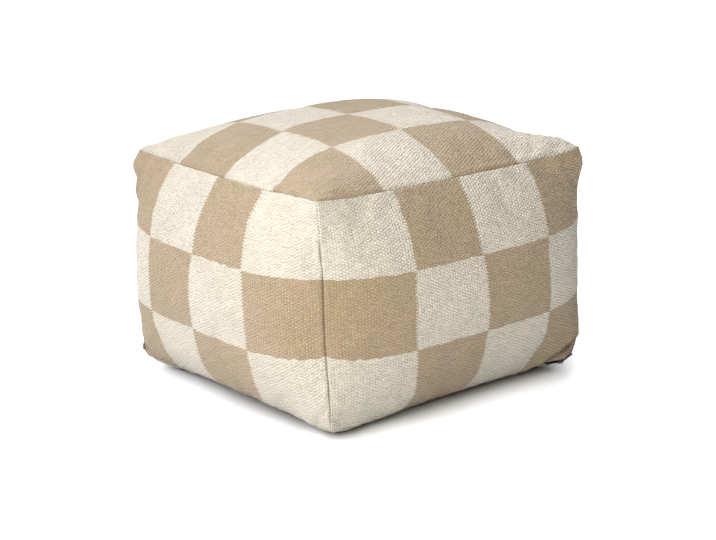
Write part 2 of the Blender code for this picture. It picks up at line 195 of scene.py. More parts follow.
# %% [markdown]
# ## The panels as one mesh
# The six panels start as one cube, subdivided into a grid whose lines crowd
# towards the seams, where the cloth bends most. Each vertex keeps its place on
# the flat cube, because seams, weave and checks follow the cloth, not the room.

# %% Helpers for selecting, reading and writing vertices
PANEL_CELLS = 80
CROWDING = 0.8


def object_mode():
    if bpy.context.object and bpy.context.object.mode != "OBJECT":
        bpy.ops.object.mode_set(mode="OBJECT")


def start_alone():
    """Nothing selected and object mode, ready for a new primitive."""
    object_mode()
    bpy.ops.object.select_all(action="DESELECT")


def work_on(piece):
    """Object mode, with only this piece selected and active."""
    start_alone()
    piece.select_set(True)
    bpy.context.view_layer.objects.active = piece


def apply_modifier(piece, kind, **settings):
    """Add a modifier with these settings, and apply it."""
    work_on(piece)
    modifier = piece.modifiers.new(kind.lower(), kind)
    for name, value in settings.items():
        setattr(modifier, name, value)
    bpy.ops.object.modifier_apply(modifier=modifier.name)


def edit_all():
    """Edit mode, with the whole of the active piece selected."""
    bpy.ops.object.mode_set(mode="EDIT")
    bpy.ops.mesh.select_all(action="SELECT")


def read_vectors(rows, name="vector"):
    """The vectors of all rows of mesh data at once."""
    values = np.empty(len(rows) * 3)
    rows.foreach_get(name, values)
    return values.reshape(-1, 3)


def vertex_places(piece):
    return read_vectors(piece.data.vertices, "co")


def cube_places(piece):
    """Each vertex's place on the flat cube."""
    return read_vectors(piece.data.attributes["cube"].data)


def move_vertices(piece, places):
    piece.data.vertices.foreach_set("co", places.ravel())
    piece.data.update()


print("a panel is cut into", PANEL_CELLS, "cells each way")

# %% Cut the panels and lay them on the pouf's shape
start_alone()
bpy.ops.mesh.primitive_cube_add(size=2)
cover = bpy.context.active_object
cover.name = "wool_cover"
edit_all()
bpy.ops.mesh.subdivide(number_cuts=PANEL_CELLS - 1)
object_mode()
flat = vertex_places(cover)
flat = flat * (1 + CROWDING * (1 - abs(flat)))
cover.data.attributes.new("cube", "FLOAT_VECTOR", "POINT").data.foreach_set("vector", flat.ravel())
move_vertices(cover, handled(place_on_pouf(flat)))
print("cover:", len(cover.data.vertices), "vertices in", len(cover.data.polygons), "cells")

# %% [markdown]
# ## Fill the cover
# Real filling pushes each panel out until its seams hold it. A short cloth
# simulation with air pressure and no gravity does the same: the seams and the
# part on the floor are held, the cloth is a little longer than its panel, and
# it wrinkles where the seams gather it. The broad swelling is taken out again,
# because the profiles above already hold the true fullness.

# %% Pressure with the seams held
PRESSURE = 4
FILLING_FRAMES = 20
CLOTH_STRETCH = 0.03
LARGEST_MOVE = 0.0022
BROAD_ROUNDS = 60
CORNER_BEGINS = 0.86


def seam_distance(cube):
    """Metres along the cloth to the nearest seam."""
    return (1 - np.sort(abs(cube), 1)[:, 1]) * TOP_REACH


def smoothed(values, piece, rounds):
    """Values averaged over neighbouring vertices, several times."""
    ends = np.empty(len(piece.data.edges) * 2, int)
    piece.data.edges.foreach_get("vertices", ends)
    a, b = ends.reshape(-1, 2).T
    count = np.bincount(np.concatenate([a, b]), minlength=len(values))[:, None]
    for _ in range(rounds):
        total = np.zeros_like(values)
        for column in range(values.shape[1]):
            total[:, column] += np.bincount(a, values[b, column], len(values))
            total[:, column] += np.bincount(b, values[a, column], len(values))
        values = (values + total / count) / 2
    return values


def fill_with_pressure(piece):
    """Swell the cloth between its held seams, and keep only its wrinkles."""
    start = vertex_places(piece)
    cube = cube_places(piece)
    held = piece.vertex_groups.new(name="held")
    on_seam = (seam_distance(cube) < 0.001) | ((cube[:, 2] < -0.999) & (start[:, 2] < 0.0005))
    held.add(np.flatnonzero(on_seam).tolist(), 1.0, "REPLACE")
    filling = piece.modifiers.new("filling", "CLOTH")
    cloth = filling.settings
    cloth.quality = 5
    cloth.mass = 0.3
    cloth.tension_stiffness = 12
    cloth.compression_stiffness = 12
    cloth.shear_stiffness = 4
    cloth.bending_stiffness = 0.3
    cloth.shrink_min = -CLOTH_STRETCH
    cloth.shrink_max = -CLOTH_STRETCH
    cloth.use_pressure = True
    cloth.uniform_pressure_force = PRESSURE
    cloth.vertex_group_mass = "held"
    cloth.effector_weights.gravity = 0
    filling.collision_settings.use_collision = False
    for number in range(1, FILLING_FRAMES + 1):
        bpy.context.scene.frame_set(number)
    work_on(piece)
    bpy.ops.object.modifier_apply(modifier="filling")
    bpy.context.scene.frame_set(1)
    swell = vertex_places(piece) - start
    wrinkles = swell - smoothed(swell, piece, BROAD_ROUNDS)
    length = np.linalg.norm(wrinkles, axis=1, keepdims=True)
    wrinkles *= np.minimum(1, LARGEST_MOVE / np.maximum(length, 1e-9))
    at_corner = np.sort(abs(cube), 1)[:, :1] > CORNER_BEGINS
    wrinkles = smoothed(wrinkles * np.where(at_corner, 0.0, 1.0), piece, 2)
    move_vertices(piece, start + wrinkles)
    piece.vertex_groups.clear()
    return np.abs(swell).max(), length.max()


swelling, wrinkling = fill_with_pressure(cover)
print(f"swelled by {swelling * 1000:.1f} mm, wrinkles up to {wrinkling * 1000:.1f}")

# %% Round the cells off once
apply_modifier(cover, "SUBSURF", levels=1, render_levels=1)
print("cover:", len(cover.data.polygons), "cells after rounding off")

# %% [markdown]
# ## Seams and creases
# A seam's thread draws the two panels down between them, and the filling
# swells each edge into a soft lip, unevenly gathered. The top panel's edge
# stands a little proud, because its allowance is folded under it.
#
# Two creases cross the lower corners, where the cloth folds over itself: above
# the line it swells, and just below it dips under. A crease is its panel's axis
# and side, its line on that panel, its swell and its dip. The seams and the
# cloth along each crease also get painted shade, stored in the from_seam
# attribute, which darkens the wool's colour there.

# %% Draw in the seams
SEAM_DEPTH = 0.0030
SEAM_HALF_WIDTH = 0.0014
TOP_SEAM_SHARE, TOP_SEAM_BAND = 0.55, 0.93
LIP_HEIGHT, LIP_PLACE, LIP_SPREAD, SIDE_LIP_SHARE = 0.0008, 0.0048, 0.003, 0.45
GATHERS, GATHER_SIZE, GATHER_PLACE, GATHER_SPREAD = 0.0007, 0.011, 0.006, 0.010
UNEVENNESS, UNEVENNESS_SIZE, FLAT_BESIDE_SEAM = 0.0016, 0.060, 0.03
SWELL_SPREAD, DIP_SPREAD, FOLD_STEP, FOLD_END = 0.009, 0.014, 0.0012, 0.011
SHADE_ABOVE, SHADE_BELOW, SHADE_BAND, SHADE_DEPTH = 0.30, 0.12, 0.003, 0.15
FAR_AWAY = 9.0
CREASES = (
    (1, -1, ((0.985, -0.47), (0.945, -0.52), (0.905, -0.565), (0.865, -0.61), (0.825, -0.65),
             (0.78, -0.70), (0.745, -0.76)), 0.0020, 0.0062),
    (0, -1, ((0.905, -0.63), (0.875, -0.72), (0.80, -0.79)), 0.0009, 0.0026),
)


def wandering(places, size, seed):
    """Smooth noise from -1 to 1 at each place, with humps of about this size."""
    offset = Vector((seed * 7.3, seed * 3.1, seed * 5.7))
    return np.array([noise.noise(Vector(place) / size + offset) for place in places])


def crease_distance(cube, crease):
    """Metres along the cloth to a crease, and whether the point is above it."""
    axis, sign, line = crease[:3]
    half_panel = (CHECK * 2, CHECK * 1.5)
    flat = cube[:, [1 - axis, 2]] * half_panel
    nearest, above = np.full(len(cube), FAR_AWAY), np.full(len(cube), True)
    line = np.array(line) * half_panel
    for start, end in zip(line, line[1:]):
        along = end - start
        share = np.clip((flat - start) @ along / (along @ along), 0, 1)
        gap = flat - start - np.outer(share, along)
        length = np.linalg.norm(gap, axis=1)
        closer = length < nearest
        nearest[closer] = length[closer]
        above[closer] = (gap @ np.array([-abs(along[1]), abs(along[0])]) > 0)[closer]
    nearest[cube[:, axis] * sign < 0.9999] = FAR_AWAY
    return nearest, above


cube = cube_places(cover)
places = vertex_places(cover)
normals = read_vectors(cover.data.vertex_normals)
from_seam = seam_distance(cube)
on_top = cube[:, 2] > 0.9999
on_base = cube[:, 2] < -0.9999
at_top = cube[:, 2] > TOP_SEAM_BAND
depth = SEAM_DEPTH * near(from_seam, SEAM_HALF_WIDTH) * np.where(at_top, TOP_SEAM_SHARE, 1.0)
lip = LIP_HEIGHT * near(from_seam - LIP_PLACE, LIP_SPREAD) * np.where(on_top, 1.0, SIDE_LIP_SHARE)
gathers = GATHERS * wandering(places, GATHER_SIZE, 1) * near(from_seam - GATHER_PLACE, GATHER_SPREAD)
unevenness = UNEVENNESS * wandering(places, UNEVENNESS_SIZE, 2)
unevenness *= np.minimum(1, from_seam / FLAT_BESIDE_SEAM)
offset = lip + gathers + unevenness - depth
offset *= np.where(on_base & (from_seam > FLAT_BESIDE_SEAM), 0.0, 1.0)
# Painted shade: the from_seam attribute gets a small value in the seams and along each crease, and the
# wool's colour darkens there.
painted_fold_shade = np.full(len(cube), 1.0)
for crease in CREASES:
    apart, above = crease_distance(cube, crease)
    swell, dip = crease[3:]
    under = dip * (1 - np.exp(-apart / DIP_SPREAD)) - (swell + dip) * (1 - np.exp(-apart / FOLD_STEP))
    folded = np.where(above, swell * np.exp(-apart / SWELL_SPREAD), swell + under)
    offset += folded * np.minimum(1, from_seam / FOLD_END)
    # Painted shade along each crease, wider below it, and deeper for a deeper dip.
    dark = np.where(above, apart * SHADE_ABOVE, (apart - SHADE_BAND) * SHADE_BELOW) - dip * SHADE_DEPTH
    painted_fold_shade = np.minimum(painted_fold_shade, dark)
places += normals * offset[:, None]
places[:, 2] = np.maximum(places[:, 2], 0.0)
move_vertices(cover, places)
# The attribute holds the painted shade: the seam distance, a little more at the top seams, or the
# crease's shade where that is less.
seam_shade_data = cover.data.attributes.new("from_seam", "FLOAT", "POINT").data
painted_shade_distance = np.minimum(from_seam + np.where(at_top, SEAM_HALF_WIDTH / 2, 0.0), painted_fold_shade)
seam_shade_data.foreach_set("value", painted_shade_distance.astype(np.float32))
print("seams drawn in by", SEAM_DEPTH * 1000, "mm")

# %% [markdown]
# ## The zip's place in the cover
# The zip lies in a shallow channel along the base seam of the hidden side and
# comes round the right-hand corner, where it is drawn out a little. Its route
# is the CAD part's own: stations on the seam with their tilt in degrees, and
# corners cut off twice. The cover is pressed down to the channel's floor, so
# that tape and teeth lie in the wool and not on it.

# %% The zip's route, as frames along it
CHANNEL_DEPTH = 0.0036
CHANNEL_HALF_WIDTH = 0.0068
NEAR_RUN = 0.046
NEAR_END = 1 - NEAR_RUN / CORNER_BASE_REACH
X_SIDE_STATIONS = ((0.78, 66), (0.5, 68), (0.2, 68), (-0.1, 68), (-0.4, 66),
                   (-0.65, 60), (-0.8, 50), (-0.89, 42), (-0.95, 36))
Y_SIDE_STATIONS = ((0.95, 36), (0.89, 38), (NEAR_END, 44))
ZIP_HANDLING = HANDLING + (((1, -1, -1), 150, (78, -78, 0)),)


def zip_route():
    """Points and facings along the zip, with every turn rounded off."""
    points, facings = [], []
    stations = [((1, value, -1), (1, 0, 0), tilt) for value, tilt in X_SIDE_STATIONS]
    stations += [((value, -1, -1), (0, -1, 0), tilt) for value, tilt in Y_SIDE_STATIONS]
    for flat_point, sideways, tilt in stations:
        angle = math.radians(tilt)
        points.append(Vector(handled(place_on_pouf([flat_point]), ZIP_HANDLING)[0]))
        facings.append(Vector(sideways) * math.cos(angle) - Vector((0, 0, math.sin(angle))))
    for _ in range(2):
        pairs = [(points[0], facings[0])]
        for index in range(len(points) - 1):
            for share in (0.25, 0.75):
                point = points[index].lerp(points[index + 1], share)
                facing = facings[index].lerp(facings[index + 1], share).normalized()
                pairs.append((point, facing))
        pairs.append((points[-1], facings[-1]))
        points, facings = [pair[0] for pair in pairs], [pair[1] for pair in pairs]
    return points, facings


route_points, route_facings = zip_route()
route_lengths = [0.0]
for before, after in zip(route_points, route_points[1:]):
    route_lengths.append(route_lengths[-1] + (after - before).length)
ZIP_LENGTH = route_lengths[-1]


def zip_frame(distance, height=0.0):
    """A matrix on the zip: X along it, Y across it and Z outward."""
    last = len(route_lengths) - 2
    index = min(last, int(np.searchsorted(route_lengths, distance, "right")) - 1)
    span = route_lengths[index + 1] - route_lengths[index]
    share = (distance - route_lengths[index]) / span
    ahead = route_points[min(index + 2, last + 1)] - route_points[index]
    behind = route_points[index + 1] - route_points[max(index - 1, 0)]
    along = behind.lerp(ahead, share).normalized()
    outward = route_facings[index].lerp(route_facings[index + 1], share)
    across = outward.cross(along).normalized()
    outward = along.cross(across)
    matrix = Matrix((along, across, outward)).transposed().to_4x4()
    matrix.translation = route_points[index].lerp(route_points[index + 1], share)
    matrix.translation += outward * height
    return matrix


print(f"the zip is {ZIP_LENGTH * 1000:.0f} mm long")

# %% Press the channel into the cover
PRESS_MARGIN, PRESS_SLOPE = 0.0012, 0.0016
PRESS_END, PRESS_END_SLOPE = 0.0022, 0.0010
CHANNEL_ALLOWANCE = 0.0002
ZIP_REACH = 0.03
zip_steps = np.arange(0.0012, ZIP_LENGTH - 0.001, 0.001)
zip_frames = [zip_frame(distance) for distance in zip_steps]
finder = kdtree.KDTree(len(zip_frames))
for index, matrix in enumerate(zip_frames):
    finder.insert(matrix.translation, index)
finder.balance()
places = vertex_places(cover)
pressed = 0
for index in np.flatnonzero((cube[:, 2] < -0.85) & ((cube[:, 0] > 0.85) | (cube[:, 1] < -0.97))):
    point = Vector(places[index])
    _, frame_index, distance = finder.find(point)
    if distance > ZIP_REACH:
        continue
    matrix = zip_frames[frame_index]
    local = matrix.inverted() @ point
    inside = min(1.0, max(0.0, (CHANNEL_HALF_WIDTH + PRESS_MARGIN - abs(local.y)) / PRESS_SLOPE))
    inside *= min(1.0, max(0.0, (PRESS_END - abs(local.x)) / PRESS_END_SLOPE))
    sunk = -CHANNEL_DEPTH - CHANNEL_ALLOWANCE
    if inside > 0 and local.z > sunk:
        local.z += (sunk - local.z) * inside
        places[index] = matrix @ local
        pressed += 1
places[:, 2] = np.maximum(places[:, 2], 0.0)
move_vertices(cover, places)
cover.data.shade_smooth()
print("channel pressed at", pressed, "vertices")

# %% [markdown]
# ## Where the weave lies
# The weave follows each panel from seam to seam, so it needs a UV map in
# metres of cloth. Four checks cross every panel and three go up a side. Cloth
# that is cut and filled never lies quite true: on the real pouf the lines
# between checks stand a little aside. The rows give that slip at each level up
# a side, in thousandths of half a panel.

# %% Where the lines between checks stand, on a panel from -1 to 1
LINE_PLACES = (-0.465, 0.053, 0.571)
SIDE_LEVELS = (-1, -0.7, -0.55, -0.4, -0.25, 0.05, 0.2, 0.35, 0.5, 0.65, 0.8, 1)
X_SIDE_LINES = (
    (90, 83, 46, 22, -5, -31, -34, -25, -6, 25, 40, 43),
    (140, 125, 95, 78, 59, 23, 11, -3, -8, 4, 7, 2),
    (130, 90, 80, 52, 30, -18, -26, -17, 0, 18, 18, -9),
)
Y_SIDE_LINES = (
    (70, 66, 60, 35, 20, -18, -10, -12, 6, 11, 8, 8),
    (45, 42, 52, 39, 28, 20, 6, 1, -9, -16, -13, -18),
    (40, 22, 28, 45, 37, 15, 0, 0, 20, 26, 17, 3),
)
SIDE_SLIP, SIDE_SPREAD = 0.0532, 0.0182
TOP_SLIP, TOP_SLIP_LESS, TOP_ROW_SLIP, TOP_SPREAD = 0.0506, 0.02, 0.0052, 0.0207
LOW_ROW, LOW_ROW_RISE, HIGH_ROW, HIGH_ROW_RISE = 0.448, 0.030, 0.735, 0.005


def line_shift(sideways, level, lines):
    """How far the cloth has slipped sideways, between and beside its lines."""
    slips = [np.interp(level, SIDE_LEVELS, np.array(line) / 1000) for line in lines]
    slips = np.array([0 * level, *slips, 0 * level])
    place = np.interp(sideways, (-1, *LINE_PLACES, 1), (0, 1, 2, 3, 4))
    first = np.minimum(place.astype(int), 3)
    share = place - first
    order = np.arange(len(level))
    return slips[first, order] * (1 - share) + slips[first + 1, order] * share


def spread_outer_lines(value, amount):
    """Bring lines that stand a little outside the halves back to them."""
    return value - amount * np.sin(math.pi * np.clip(value, -1, 1))


def side_rows(t, sideways):
    """Rows up a side panel, from 0 at the base to 3 at the top."""
    low = LOW_ROW + LOW_ROW_RISE * abs(sideways) ** SIDE_FULLNESS
    high = HIGH_ROW + HIGH_ROW_RISE * abs(sideways) ** SIDE_FULLNESS
    first = t * (t - high) * (t - 1) / (low * (low - high) * (low - 1))
    second = t * (t - low) * (t - 1) / (high * (high - low) * (high - 1))
    third = t * (t - low) * (t - high) / ((1 - low) * (1 - high))
    return first + 2 * second + 3 * third


def check_place(cube, axis):
    """The check coordinates of points on panels that face along an axis."""
    x, y, z = cube.T
    drift = (1 - x**2) * (1 - y**2)
    top_slip = TOP_SLIP - TOP_SLIP_LESS * near(y + 0.5, 0.5)
    top = 2 + 2 * spread_outer_lines(x + top_slip * drift, TOP_SPREAD)
    top_row = 2 + 2 * spread_outer_lines(y - TOP_ROW_SLIP * drift, TOP_SPREAD)
    sideways = np.where(axis == 0, y, x)
    slip = np.where(axis == 0, line_shift(y, z, X_SIDE_LINES), line_shift(x, z, Y_SIDE_LINES))
    side = 2 + 2 * spread_outer_lines(sideways - SIDE_SLIP - slip, SIDE_SPREAD)
    column = np.where(axis == 2, top, side)
    row = np.where(axis == 2, top_row, side_rows((z + 1) / 2, sideways))
    return column, row


print("the lines have places at", len(SIDE_LEVELS), "levels up a side")

# %% Space the threads evenly along the cloth
STEPS_ACROSS = 401


def evened(value, axis, direction, which):
    """Check coordinates, respaced so that threads lie evenly over a bulge."""
    path = np.zeros((STEPS_ACROSS, 3))
    path[:, direction] = np.linspace(-1, 1, STEPS_ACROSS)
    path[:, axis] = 1 if axis == 2 else -1
    along = check_place(path, np.full(STEPS_ACROSS, axis))[which]
    lengths = np.linalg.norm(np.diff(place_on_pouf(path), axis=0), axis=1)
    lengths = np.concatenate([[0], np.cumsum(lengths)])
    lines = np.interp((1, 2, 3), along, lengths)
    one_check = (lines[2] - lines[0]) / 2
    ends = (1 - lines[0] / one_check, 3 + (lengths[-1] - lines[2]) / one_check)
    knots = (0, *lines, lengths[-1])
    even = np.interp(lengths, knots, (ends[0], 1, 2, 3, ends[1]))
    print(f"a check spans {one_check * 1000:.0f} mm on panel {axis} along {direction}")
    return np.interp(value, along, even)


loop_vertex = np.empty(len(cover.data.loops), int)
cover.data.loops.foreach_get("vertex_index", loop_vertex)
middle = cube[loop_vertex].reshape(-1, 4, 3).mean(1)
facing_axis = abs(middle).argmax(1)
facing_sign = np.sign(np.take_along_axis(middle, facing_axis[:, None], 1)[:, 0])
loop_axis = np.repeat(facing_axis, 4)
column, row = check_place(cube[loop_vertex], loop_axis)
weave = np.stack([column - 2, row], 1)
for axis, direction in ((0, 1), (1, 0), (2, 0)):
    chosen = loop_axis == axis
    weave[chosen, 0] = evened(column[chosen], axis, direction, 0) - 2
chosen = loop_axis == 2
weave[chosen, 1] = evened(row[chosen], 2, 1, 1)
weave *= CHECK
uv_map = cover.data.uv_layers[0]
uv_map.name = "weave"
uv_map.data.foreach_set("uv", weave.ravel().astype(np.float32))
turned = np.where((facing_axis == 2) | (facing_sign > 0), 1.0, 0.0)
turned_data = cover.data.attributes.new("turned", "FLOAT", "FACE").data
turned_data.foreach_set("value", turned.astype(np.float32))
plain = ((facing_axis == 2) & (facing_sign < 0)).astype(int)
print("weave map from", weave.min().round(3), "to", weave.max().round(3), "metres")

# %% [markdown]
# ## Shader sums
# A weave is arithmetic: which thread is this, is it over or under, and which
# colour is it. Written as nodes, that is dozens of Math nodes. A small class
# that stands for a socket lets the sums be written as Python expressions.

# %% A finish and its sockets
class Link:
    """One output socket of a material, usable in sums."""

    def __init__(self, finish, socket):
        self.finish = finish
        self.socket = socket

    def output(self, which):
        """Another output of the same node."""
        return Link(self.finish, self.socket.node.outputs[which])

    def math(self, operation, *values):
        inputs = dict(enumerate((self, *values)))
        return self.finish.add("ShaderNodeMath", {"operation": operation}, inputs)

    def between(self, low, high):
        return self.math("MAXIMUM", low).math("MINIMUM", high)

    def __rsub__(self, value):
        return self.finish.add("ShaderNodeMath", {"operation": "SUBTRACT"}, {0: value, 1: self})


for sign, operation in (("add", "ADD"), ("sub", "SUBTRACT"), ("mul", "MULTIPLY"),
                        ("truediv", "DIVIDE"), ("mod", "FLOORED_MODULO"), ("pow", "POWER")):
    setattr(Link, f"__{sign}__", lambda link, value, kind=operation: link.math(kind, value))
Link.__radd__, Link.__rmul__ = Link.__add__, Link.__mul__


class Finish:
    """A new material with one Principled shader."""

    def __init__(self, name):
        self.material = bpy.data.materials.new(name)
        self.material.use_nodes = True
        self.tree = self.material.node_tree
        self.shader = self.tree.nodes["Principled BSDF"]

    def add(self, kind, settings=None, inputs=None, output=0):
        """A node of this kind, with its settings made before its sockets."""
        node = self.tree.nodes.new(kind)
        for name, value in (settings or {}).items():
            setattr(node, name, value)
        for name, value in (inputs or {}).items():
            self.feed(node.inputs[name], value)
        return Link(self, node.outputs[output])

    def feed(self, socket, value):
        if isinstance(value, Link):
            self.tree.links.new(value.socket, socket)
        else:
            socket.default_value = value

    def mix(self, share, first, second, blend="MIX"):
        """Two colours mixed by a share."""
        settings = {"data_type": "RGBA", "blend_type": blend}
        inputs = {0: share, 6: first, 7: second}
        return self.add("ShaderNodeMix", settings, inputs, output=2)

    def cloud(self, place, scale, detail=2.0):
        """Smooth noise, with humps of about a metre over the scale."""
        inputs = {"Vector": place, "Scale": scale, "Detail": detail}
        return self.add("ShaderNodeTexNoise", inputs=inputs)

    def bump(self, strength, distance, height):
        """A normal that shows heights up to this distance in metres."""
        inputs = {"Strength": strength, "Distance": distance, "Height": height}
        return self.add("ShaderNodeBump", inputs=inputs)

    def put(self, **values):
        """Feed the shader's own sockets, by name with _ for a space."""
        for name, value in values.items():
            self.feed(self.shader.inputs[name.replace("_", " ")], value)


print("shader sums are ready")

# %% [markdown]
# ## Woven wool
# The cover is a flat-woven rug cloth: the wool weft is beaten down until it
# hides the warp. What shows is a rib over every warp thread, each rib a stack
# of small nubs, and each stack half a nub above its neighbour. Where two
# colours meet beside a warp, both turn back round that one thread by turns,
# which makes the fine teeth along the upright edges of the checks. Working
# out the colour from the middle of each nub gives both kinds of edge.

# %% The wool, checked or plain
WARP_PITCH = CHECK / 28
NUB_HEIGHT = CHECK / 25
NUB_REACH = 0.80
NUB_RISE = 0.42
WEAVE_DEPTH = 0.0037
CREAM = (0.510, 0.466, 0.378, 1)
CREAM_SHADE = (0.455, 0.409, 0.321, 1)
TAN = (0.290, 0.218, 0.118, 1)
TAN_ROSE = (0.326, 0.228, 0.145, 1)


def make_wool(name, checked):
    """Weft-faced wool cloth, in two colours of check or plain cream."""
    wool = Finish(name)
    room = wool.add("ShaderNodeTexCoord", output="Object")
    cloth = wool.add("ShaderNodeUVMap", {"uv_map": "weave"})
    u = wool.add("ShaderNodeSeparateXYZ", inputs={0: cloth})
    v = u.output(1)
    for scale, detail, amount in ((30.0, 1.0, 0.0040), (150.0, 0.0, 0.0012)):
        u = u + (wool.cloud(room, scale, detail) - 0.5) * amount
    for scale, detail, amount in ((22.0, 1.0, 0.0050), (120.0, 0.0, 0.0022)):
        v = v + (wool.cloud(room, scale, detail) - 0.5) * amount
    warp = (u / WARP_PITCH).math("ROUND")
    aside = u / WARP_PITCH - warp
    half_up = (warp % 2.0) * 0.5
    stack = v / NUB_HEIGHT + half_up
    nub = stack.math("FLOOR")
    up = stack - nub - 0.5
    slanted = up + aside * 0.10
    across, along = aside.math("ABSOLUTE"), slanted.math("ABSOLUTE")
    own_depth = (across / NUB_REACH) ** 2.0 + (along / NUB_RISE) ** 2.0
    next_depth = ((1.0 - across) / NUB_REACH) ** 2.0 + ((0.5 - along) / NUB_RISE) ** 2.0
    nubs = (1.0 - own_depth.math("MINIMUM", next_depth) * 0.75).math("MAXIMUM", 0.0)
    rib = (aside * math.pi).math("COSINE")
    relief = nubs * 0.68 + rib * 0.32
    beside = next_depth.math("LESS_THAN", own_depth)
    rib_number = warp + beside * aside.math("SIGN")
    centre = nub + 0.5 - half_up + beside * slanted.math("SIGN") * 0.5

    own = wool.add("ShaderNodeCombineXYZ", inputs={0: rib_number, 1: centre, 2: 0.0})
    chance = wool.add("ShaderNodeTexWhiteNoise", {"noise_dimensions": "2D"}, {"Vector": own})
    lengths = wool.add("ShaderNodeCombineXYZ", inputs={0: u * 60.0, 1: v * 330.0, 2: 0.0})
    yarn = wool.cloud(lengths, 1.0)
    patches = wool.cloud(room, 15.0)
    hairs = wool.cloud(room, 900.0)

    colour = wool.mix((patches - 0.35) * 1.6, CREAM, CREAM_SHADE)
    if checked:
        turn = ((v / NUB_HEIGHT) % 1.0 - 0.5).math("SIGN") * 0.30 + (chance - 0.5) * 0.28
        column = ((u / WARP_PITCH + turn) * (WARP_PITCH / CHECK) + 2.0).math("FLOOR")
        column = column.between(0.0, 3.0)
        level = centre * 0.55 + v / NUB_HEIGHT * 0.45 + (chance - 0.5) * 0.14
        level_row = (level * (NUB_HEIGHT / CHECK)).math("FLOOR").between(0.0, 3.0)
        turned = wool.add("ShaderNodeAttribute", {"attribute_name": "turned"}, output="Fac")
        is_tan = (column + level_row + turned) % 2.0
        tan = wool.mix((patches - 0.3) * 1.8, TAN, TAN_ROSE)
        colour = wool.mix(is_tan, colour, tan)
    light = (yarn - 0.5) * 0.30 + (chance - 0.5) * 0.12 + (hairs - 0.5) * 0.16
    # Painted shade in the seams and along the creases: the from_seam attribute darkens the colour,
    # blue most.
    seam = wool.add("ShaderNodeAttribute", {"attribute_name": "from_seam"}, output="Fac")
    painted_seam_shade = (seam / SEAM_HALF_WIDTH).math("MINIMUM", 1.0) * 0.5 + 0.5
    # Painted shade between the nubs, from their relief, mixed with random yarn and hair tone.
    nub_shade_and_yarn_tone = relief * 0.26 + 0.85 + light
    shade = {0: nub_shade_and_yarn_tone * painted_seam_shade, 1: nub_shade_and_yarn_tone * painted_seam_shade ** 1.25, 2: nub_shade_and_yarn_tone * painted_seam_shade ** 1.6}
    shade = wool.add("ShaderNodeCombineColor", inputs=shade)
    colour = wool.mix(1.0, colour, shade, "MULTIPLY")

    height = relief * (0.55 + chance * 0.9) + (hairs - 0.5) * 0.35
    height = height + (chance - 0.5) * 0.25 + (yarn - 0.5) * 0.6
    normal = wool.bump(1.0, WEAVE_DEPTH, height)
    wool.put(Base_Color=colour, Roughness=0.97 - relief * 0.08, Normal=normal)
    wool.put(Sheen_Weight=0.25, Sheen_Roughness=0.5, Specular_IOR_Level=0.2)
    return wool.material


cover.data.materials.clear()
cover.data.materials.append(make_wool("checked_wool", True))
cover.data.materials.append(make_wool("plain_wool", False))
cover.data.polygons.foreach_set("material_index", plain)
cover.data.update()
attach(cover, "root")
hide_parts("pouf_body")
print(f"ribs every {WARP_PITCH * 1000:.1f} mm, nubs {NUB_HEIGHT * 1000:.1f} mm high")

# %% [markdown]
# ## The zip
# A nylon coil zip has no separate teeth: its teeth are the turns of a stiff
# coil, sewn to a woven tape. Here one turn is modelled, as a rounded bar, and
# copied along the route, left and right by turns, so that the two halves
# mesh. The tape and its folded end are copies of the CAD model's own, moved
# with the cloth by the same nudges.

# %% Heights of the zip's layers, and helpers for small pieces
MM = 0.001
TAPE_START = 3.0 * MM
TAPE_END = ZIP_LENGTH - 3.0 * MM
TAPE_TOP = -2.3 * MM
COIL_BASE = -2.0 * MM
COIL_HEIGHT = 2.2 * MM
SLIDER_BASE = 0.5 * MM
SLIDER_PLACE = ZIP_LENGTH - NEAR_RUN + 15.0 * MM
SMOOTH_ANGLE = math.radians(40)


def new_piece(name, primitive, **settings):
    """Add a primitive with nothing else selected, and name it."""
    start_alone()
    primitive(**settings)
    piece = bpy.context.active_object
    piece.name = name
    bpy.ops.object.transform_apply(location=True, rotation=True, scale=True)
    return piece


def select_faces(piece, wanted):
    """Edit mode, with just the wanted faces selected."""
    bpy.context.view_layer.objects.active = piece
    bpy.ops.object.mode_set(mode="EDIT")
    bpy.ops.mesh.select_mode(type="FACE")
    bpy.ops.mesh.select_all(action="DESELECT")
    object_mode()
    for face in piece.data.polygons:
        face.select = wanted(face)
    bpy.ops.object.mode_set(mode="EDIT")


def extrude_by(height):
    """Extrude the selected faces straight up, or down by a minus height."""
    bpy.ops.mesh.extrude_region_move(TRANSFORM_OT_translate={"value": (0, 0, height)})


def rounded(piece, width, segments):
    """Bevel every edge with a modifier, applied, and shade it smooth."""
    apply_modifier(piece, "BEVEL", width=width, segments=segments, limit_method="ANGLE")
    bpy.ops.object.shade_smooth_by_angle(angle=SMOOTH_ANGLE)


def add_object(name, data):
    """Put a mesh, a light or a camera into the scene."""
    added = bpy.data.objects.new(name, data)
    bpy.context.scene.collection.objects.link(added)
    return added


def join_all(pieces, name):
    """Join finished pieces into one."""
    start_alone()
    for piece in pieces:
        piece.select_set(True)
    bpy.context.view_layer.objects.active = pieces[0]
    bpy.ops.object.join()
    pieces[0].name = name
    return pieces[0]


def copies_along(pattern, matrices, name):
    """A copy of one modelled piece at each matrix, with its own mesh."""
    copies = []
    for matrix in matrices:
        mesh = pattern.data.copy()
        mesh.transform(matrix)
        copies.append(add_object(name, mesh))
    bpy.data.objects.remove(pattern)
    return join_all(copies, name)


print(f"the slider stands {SLIDER_PLACE * 1000:.0f} mm along the zip")

